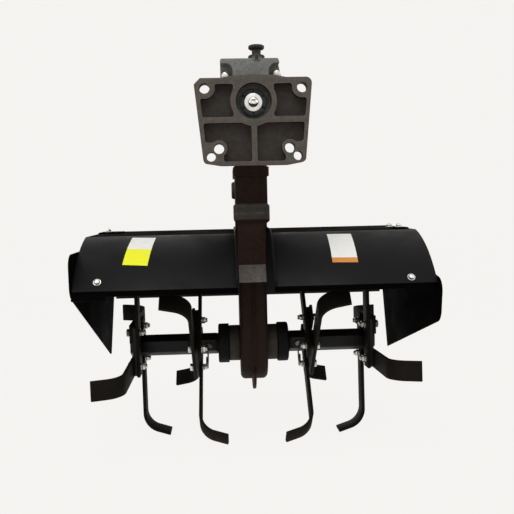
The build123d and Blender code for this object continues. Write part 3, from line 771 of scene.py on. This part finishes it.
# %% Threads and domed heads
def threaded_end(radius, low, high, pitch=1.5):
    """A stub of thread with its crests and roots, and a chamfered tip."""
    depth = 0.6
    outline = [(0, low), (radius, low)]
    height = low
    while height + pitch < high - 1:
        outline += [(radius, height + pitch * 0.2), (radius - depth, height + pitch * 0.6)]
        height += pitch
    outline += [(radius, height + 0.3), (radius, high - 0.8), (radius - 0.9, high), (0, high)]
    return spun(outline, 20)


def domed_head():
    """A domed screw head. Its upright flank and first slope take the second coat, a painted shade under the
    dome.
    """
    flank_bottom, flank_top = 0.6, 3.0
    head = spun([(0, 0.5), (4.3, 0.5), (4.3, 2.2), (4.0, 3.0), (3.2, 3.7), (2.0, 4.2), (0, 4.4)], 28)
    for face in head.faces:
        face.material_index = 1 if flank_bottom < face.calc_center_median().z / MM < flank_top else 0
    return head


# %% [markdown]
# ## Input
# The tractor's shaft would slide into the dog ring. In its middle stands the end of the input shaft, turned
# bright, with a rounded spigot and the small centre mark left by the lathe. The spigot's underside and the
# top of the mark take the dark steel finish, which is painted shade. A painted mask could show the shade,
# but it follows the turned rims, so whole faces of the spun outline take the dark finish.

# %% Dog ring and shaft end
dressed("dog_coupling", ["oiled_steel_and_shade"], 0.6, body="input")
dressed("input_shaft", ["turned_steel"], 1.0, body="input")

LIT_DISC_HEIGHT, LIT_DISC_RADIUS = 5.6, 8.4       # a lit disc set high, with painted shade below it
MARK_INNER, MARK_OUTER, MARK_HEIGHT = 2.6, 3.7, 2.0
shaft_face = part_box("input_shaft")[0].y
spigot = spun([(0, -1), (6.6, -1), (6.6, 1.4), (6.4, 2.0), (6.1, 2.5), (5.7, 2.9), (5.2, 3.2), (4.4, 3.5),
               (3.6, 3.7), (2.6, 3.8), (2.0, 2.6), (0, 2.0)], 48)
bm = bmesh.new()
lay(bm, spigot, Vector((0, shaft_face, 0)), (0, -1, 0))
for face in bm.faces:
    at = face.calc_center_median() / MM
    # painted shade: the spigot's underside outside the lit disc, and the top of the centre mark
    under = at.y < shaft_face / MM and (at.xz - Vector((0, LIT_DISC_HEIGHT))).length > LIT_DISC_RADIUS
    above = MARK_INNER < at.xz.length < MARK_OUTER and at.z > MARK_HEIGHT
    face.material_index = 1 if under or above else 0
piece("shaft_spigot", bm, ["turned_steel", "oiled_steel_and_shade"], "input", sharp=60)

# %% [markdown]
# ## Filler plug
# The oil filler plug on top is a moulded knob with a waist. Its rim has shallow grips, so a wet glove can
# turn it. They could be cut one by one, but pulling every third column of the spun outline in a little
# gives the same grips in one step.

# %% Plug
COLUMNS = 36
GRIP_RADIUS, GRIP_SHRINK = 9, 0.96
low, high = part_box("filler_plug")
knob = spun([(0, 0), (6.6, 0), (6.0, 1.0), (6.0, 6.6), (6.6, 7.4), (9.2, 7.9), (10.7, 9.2), (10.7, 12.0),
             (9.4, 13.1), (6.0, 13.5), (0, 13.5)], COLUMNS)
for vert in knob.verts:
    column = round(vert.co.xy.angle_signed(Vector((1, 0)), 0) / (2 * pi / COLUMNS))
    if vert.co.xy.length > GRIP_RADIUS * MM and column % 3 == 0:
        vert.co.xy *= GRIP_SHRINK
bm = bmesh.new()
lay(bm, knob, Vector(((low.x + high.x) / 2, (low.y + high.y) / 2, low.z)), (0, 0, 1))
plug = piece("filler_plug_moulded", bm, ["plug_plastic"], sharp=50)
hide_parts("filler_plug")

# %% [markdown]
# ## Bolts of the gear housing
# Two bolts sit in the arched recesses behind the plate, and six hold the rear cover. The cover's bolts are
# set on a circle by a loop, because a maker drills them on a dividing head in the same way.

# %% Recess bolts and cover bolts
RECESS_DEPTH = 16       # from the plate's back to the recesses' floor
RECESS_BOLTS = [(-36.3, 38.3), (33.1, 40.4)]
COVER_SEAT = 10         # from the cover's front to the face under its bolts
COVER_BOLTS, COVER_CIRCLE = 6, 42

bm = bmesh.new()
recess_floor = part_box("flange_plate")[1].y + RECESS_DEPTH * MM
for x, z in RECESS_BOLTS:
    lay_hexagon(bm, Vector((x * MM, recess_floor, z * MM)), (0, -1, 0), radians(15),
                disc=4.8, thick=1, across_flats=7.4, top=7)
cover_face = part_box("rear_cover")[0].y + COVER_SEAT * MM
for step in range(COVER_BOLTS):
    angle = 2 * pi / COVER_BOLTS * (step + 0.5)
    at = Vector((COVER_CIRCLE * MM * cos(angle), cover_face, COVER_CIRCLE * MM * sin(angle)))
    lay(bm, hexagon(10, 0, 6), at, (0, 1, 0), angle)
    lay(bm, washer(7, 0, 1.2), at, (0, 1, 0))
piece("housing_bolts", bm, ["zinc_plate"])

# %% [markdown]
# The column has a round oil level plug on its left side. Only its rim shows from the front, so a dished
# disc with a rolled rim is enough, spun like the others.

# %% Oil level plug
PLUG_SIDE, PLUG_HEIGHT = -24.5, -111.6
level_plug = spun([(0, 2.5), (4.5, 2.5), (4.8, 5.2), (5.6, 5.6), (11.0, 5.6), (12.6, 4.8), (13.8, 2.6),
                   (14, -0.5), (0, -0.5)], 36)
bm = bmesh.new()
lay(bm, level_plug, Vector((PLUG_SIDE * MM, middle("leg_column").y, PLUG_HEIGHT * MM)), (-1, 0, 0))
# the plug takes the collar's pale paint
piece("level_plug", bm, ["collar_light_paint"])

# %% [markdown]
# ## Hood hardware
# Two dome-headed screws hold the end brackets near the hood's front corners. The curved panel is part of a
# cylinder, so a screw stands on it at an angle, and its axis points away from that cylinder's centre line.
# Working this out from the angle alone keeps every screw square to the sheet.

# %% Screws on the curved panel
# columns: side, angle up the panel in degrees
HOOD_SCREWS = [(-219.4, 41.6), (217.1, 39.9)]
NUT_INSIDE = 6.2        # below the panel's face, at the end of the screw


def on_panel(x, climb, out=0.0):
    """A point on the front panel and the direction it faces, by its angle above the level in degrees."""
    away = Vector((0, -cos(radians(climb)), sin(radians(climb))))
    return Vector((x * MM, PANEL_CENTRE.y, PANEL_CENTRE.z)) + away * (PANEL_RADIUS + out * MM), away


bm = bmesh.new()
for x, climb in HOOD_SCREWS:
    at, away = on_panel(x, climb)
    lay(bm, washer(5.6, -0.4, 0.8), at, away)
    lay(bm, domed_head(), at, away)
    lay(bm, hexagon(11, 0, 5), at - away * NUT_INSIDE * MM, -away)
piece("hood_screws", bm, ["zinc_plate", "oiled_steel_and_shade"])

# %% [markdown]
# The hood's ends are bolted through small tabs that lie on its top, with a nut on each bolt. A tab is a
# flat box whose four upright edges are rounded widely first, and its rims narrowly after that.

# %% Tabs on top of the hood
TAB_THICK, TAB_ROUND = 2, 7
# columns: left and right end, front and back measured from the rotor's axis
TABS = [(214, 252, -60, -4), (-251, -226, 24, 56)]

bm = bmesh.new()
for left, right, front, back in TABS:
    tab = bmesh.new()
    bmesh.ops.create_cube(tab, size=MM)
    bmesh.ops.scale(tab, vec=(right - left, back - front, TAB_THICK), verts=tab.verts)
    bmesh.ops.translate(tab, vec=Vector((left + right, front + back, TAB_THICK)) / 2 * MM, verts=tab.verts)
    corners = [edge for edge in tab.edges if abs((edge.verts[0].co - edge.verts[1].co).z) > MM]
    bmesh.ops.bevel(tab, geom=corners, offset=TAB_ROUND * MM, segments=5, profile=0.5, affect="EDGES",
                    material=-1)
    soften(tab, 0.6, angle=60)
    lay(bm, tab, Vector((0, ROTOR.y, HOOD_TOP)), (0, 0, 1))
piece("hood_tabs", bm, ["matt_black"])

# %% Nuts on the tabs
# columns: side, place behind the rotor's axis
HOOD_NUTS = [(-240, 40), (239, -35), (226, -24)]

bm = bmesh.new()
for x, back in HOOD_NUTS:
    at = Vector((x * MM, ROTOR.y + back * MM, HOOD_TOP + TAB_THICK * MM))
    lay_hexagon(bm, at, (0, 0, 1), radians(20), disc=5.5, thick=0.8, across_flats=8, top=4.4)
    lay(bm, threaded_end(2.5, 3.5, 6.0, pitch=0.8), at, (0, 0, 1))
piece("hood_nuts", bm, ["zinc_plate"])

# %% [markdown]
# ## Stickers
# The panel carries two rectangular stickers, one white over yellow and one white with an orange foot. They
# are left blank. Hands stuck them on, so each is turned a little in its own plane. A Shrinkwrap modifier
# would press a flat sheet on, but a cylinder needs less: a grid is divided where its colours meet, each
# corner is counted out along the curve, and the bent film is then given its thickness.

# %% Two blank stickers
FILM_GAP, FILM_THICK = 0.3, 0.2
# columns: side, angle up the panel, width, height, turn in degrees, upper colour, lower colour, its share
STICKERS = {
    "sticker_left": (-166.7, 62.2, 35.5, 76, 4.8, chart(245, 245, 241), chart(248, 250, 30), 0.49),
    "sticker_right": (129.1, 60.8, 36.5, 76.5, 1.5, chart(245, 245, 241), chart(216, 142, 58), 0.13),
}
for name, (x, climb, wide, high, turned, upper, lower, share) in STICKERS.items():
    bm = bmesh.new()
    bmesh.ops.create_grid(bm, x_segments=1, y_segments=12, size=0.5)
    bmesh.ops.scale(bm, vec=(wide, high, 1), verts=bm.verts)
    meeting = (share - 0.5) * high
    split(bm, (0, meeting, 0), (0, 1, 0))
    for face in bm.faces:
        face.material_index = 1 if face.calc_center_median().y < meeting else 0
    bmesh.ops.rotate(bm, cent=(0, 0, 0), matrix=Matrix.Rotation(-radians(turned), 3, "Z"), verts=bm.verts)
    for vert in bm.verts:
        rise = degrees(vert.co.y * MM / PANEL_RADIUS)
        vert.co = on_panel(x + vert.co.x, climb + rise, FILM_GAP)[0]
    bm.normal_update()
    bmesh.ops.solidify(bm, geom=list(bm.faces), thickness=FILM_THICK * MM)
    bmesh.ops.recalc_face_normals(bm, faces=bm.faces)
    sticker_film(name + "_upper", upper)
    sticker_film(name + "_lower", lower)
    piece(name, bm, [name + "_upper", name + "_lower"], sharp=60)

# %% [markdown]
# ## Blade bolts
# Each flange has four bolts at the corners of a square. Heads are on the side away from the middle and nuts
# on the inner side, with a few turns of thread showing. One bolt could be copied by hand sixteen times, but
# the flanges are turned on the shaft, so a loop turns each bolt's place with its flange. They ride on the
# rotor.

# %% Sixteen bolts and nuts
BOLT_OFFSET = 28        # from the flange's middle, both ways
STACK = 7.5             # from a flange's middle to the outside of a blade's shank
HEAD_TURN, NUT_TURN = 23, 0.4       # each head stops 23 degrees on, and its nut 0.4 radians past it
# the outer bolts have lost their zinc
HEAD_STEEL = {place: "zinc_plate" if "inner" in place else "spring_steel" for place in FLANGES}

for place, phase in FLANGES.items():
    heads, nuts = bmesh.new(), bmesh.new()
    centre = middle("tine_flange_" + place)
    out = 1 if centre.x > 0 else -1
    for number, (back, high) in enumerate(((-1, 1), (1, 1), (1, -1), (-1, -1))):
        arm = Matrix.Rotation(radians(phase), 3, "X") @ Vector((0, back, high)) * BOLT_OFFSET * MM
        outer = centre + arm + Vector((out * STACK * MM, 0, 0))
        inner = centre + arm - Vector((out * STACK * MM, 0, 0))
        spin = radians(HEAD_TURN * number + phase)
        lay_hexagon(heads, outer, (out, 0, 0), spin, disc=6.8, thick=1.2, across_flats=11, top=6)
        lay_hexagon(nuts, inner, (-out, 0, 0), spin + NUT_TURN,
                    disc=6.2, thick=1.2, across_flats=9.6, top=6.6)
        lay(nuts, threaded_end(3.8, 6, 10), inner, (-out, 0, 0))
    piece("blade_bolts_" + place, heads, [HEAD_STEEL[place]], "rotor")
    piece("blade_nuts_" + place, nuts, ["zinc_plate"], "rotor")

# %% [markdown]
# ## Tube pins and spring clips
# A pin through each hexagon tube keeps it on the shaft, and a spring clip keeps the pin in. A clip could be
# swept by hand, but it is bent from wire, so it is a smooth curve with a round section, turned into a mesh
# once its shape is right.

# %% Bend a wire
def bent_wire(name, points, thickness, coat, body):
    """A round wire that follows a smooth curve near the points given, in metres."""
    curve = bpy.data.curves.new(name, "CURVE")
    curve.dimensions = "3D"
    curve.bevel_depth = thickness / 2 * MM
    curve.bevel_resolution = 3
    curve.use_fill_caps = True
    line = curve.splines.new("NURBS")
    line.points.add(len(points) - 1)
    for point, at in zip(line.points, points):
        point.co = (*at, 1)
    line.use_endpoint_u = True
    line.order_u = 3
    line.resolution_u = 6
    holder = bpy.data.objects.new(name, curve)
    bpy.context.scene.collection.objects.link(holder)
    bpy.context.view_layer.update()
    mesh = bpy.data.meshes.new_from_object(holder.evaluated_get(bpy.context.evaluated_depsgraph_get()))
    bpy.data.objects.remove(holder)
    bm = bmesh.new()
    bm.from_mesh(mesh)
    bmesh.ops.remove_doubles(bm, verts=bm.verts, dist=0.001 * MM)
    return piece(name, bm, [coat], body, sharp=60)


# %% Pins and clips
PIN_OFFSET = 72         # from the leg's middle
PIN = [(0, -22), (3.4, -22), (4, -21.4), (4, 19), (7, 19), (7.6, 19.6), (7.6, 22.4), (7, 23), (0, 23)]
# back and up from the pin's middle
CLIP = [(-22, 3), (-19, 3), (-12, -1), (-2, -9), (4, -20), (2, -32), (-5, -38), (-12, -33), (-10, -25),
        (-3, -22), (2, -27), (3, -36), (0, -43)]
CLIP_START, CLIP_STEP = 2.5, 0.4        # out from the pin's middle, so the loop passes itself
WIRE = 2.6

bm = bmesh.new()
for side, name in zip((-1, 1), SIDES):
    at = ROTOR + Vector((side * PIN_OFFSET * MM, 0, 0))
    lay(bm, spun(PIN), at, (0, 1, 0))
    wire = [at + Vector((side * (CLIP_START + CLIP_STEP * step), back, high)) * MM
            for step, (back, high) in enumerate(CLIP)]
    bent_wire("tube_clip_" + name, wire, WIRE, "spring_steel", "rotor")
piece("tube_pins", bm, ["spring_steel"], "rotor")

# %% [markdown]
# ## Weld beads
# The square flanges are welded to the hexagon tubes. A bead could be a rope of drops, but paint has filled
# it in, so a narrow six-sided skirt with rounded rims on each side of the flange is enough.

# %% Beads round the tubes
FLANGE_FACE = 2.5       # from a flange's middle
BEAD_FOOT, BEAD_TOP, BEAD_HEIGHT = 20.8, 17.6, 3.2

bm = bmesh.new()
for place in FLANGES:
    for way in (-1, 1):
        at = middle("tine_flange_" + place) + Vector((way * FLANGE_FACE * MM, 0, 0))
        lay(bm, six_sided(BEAD_FOOT, BEAD_TOP, 0, BEAD_HEIGHT, 0.8), at, (way, 0, 0))
piece("flange_welds", bm, ["rotor_paint"], "rotor")
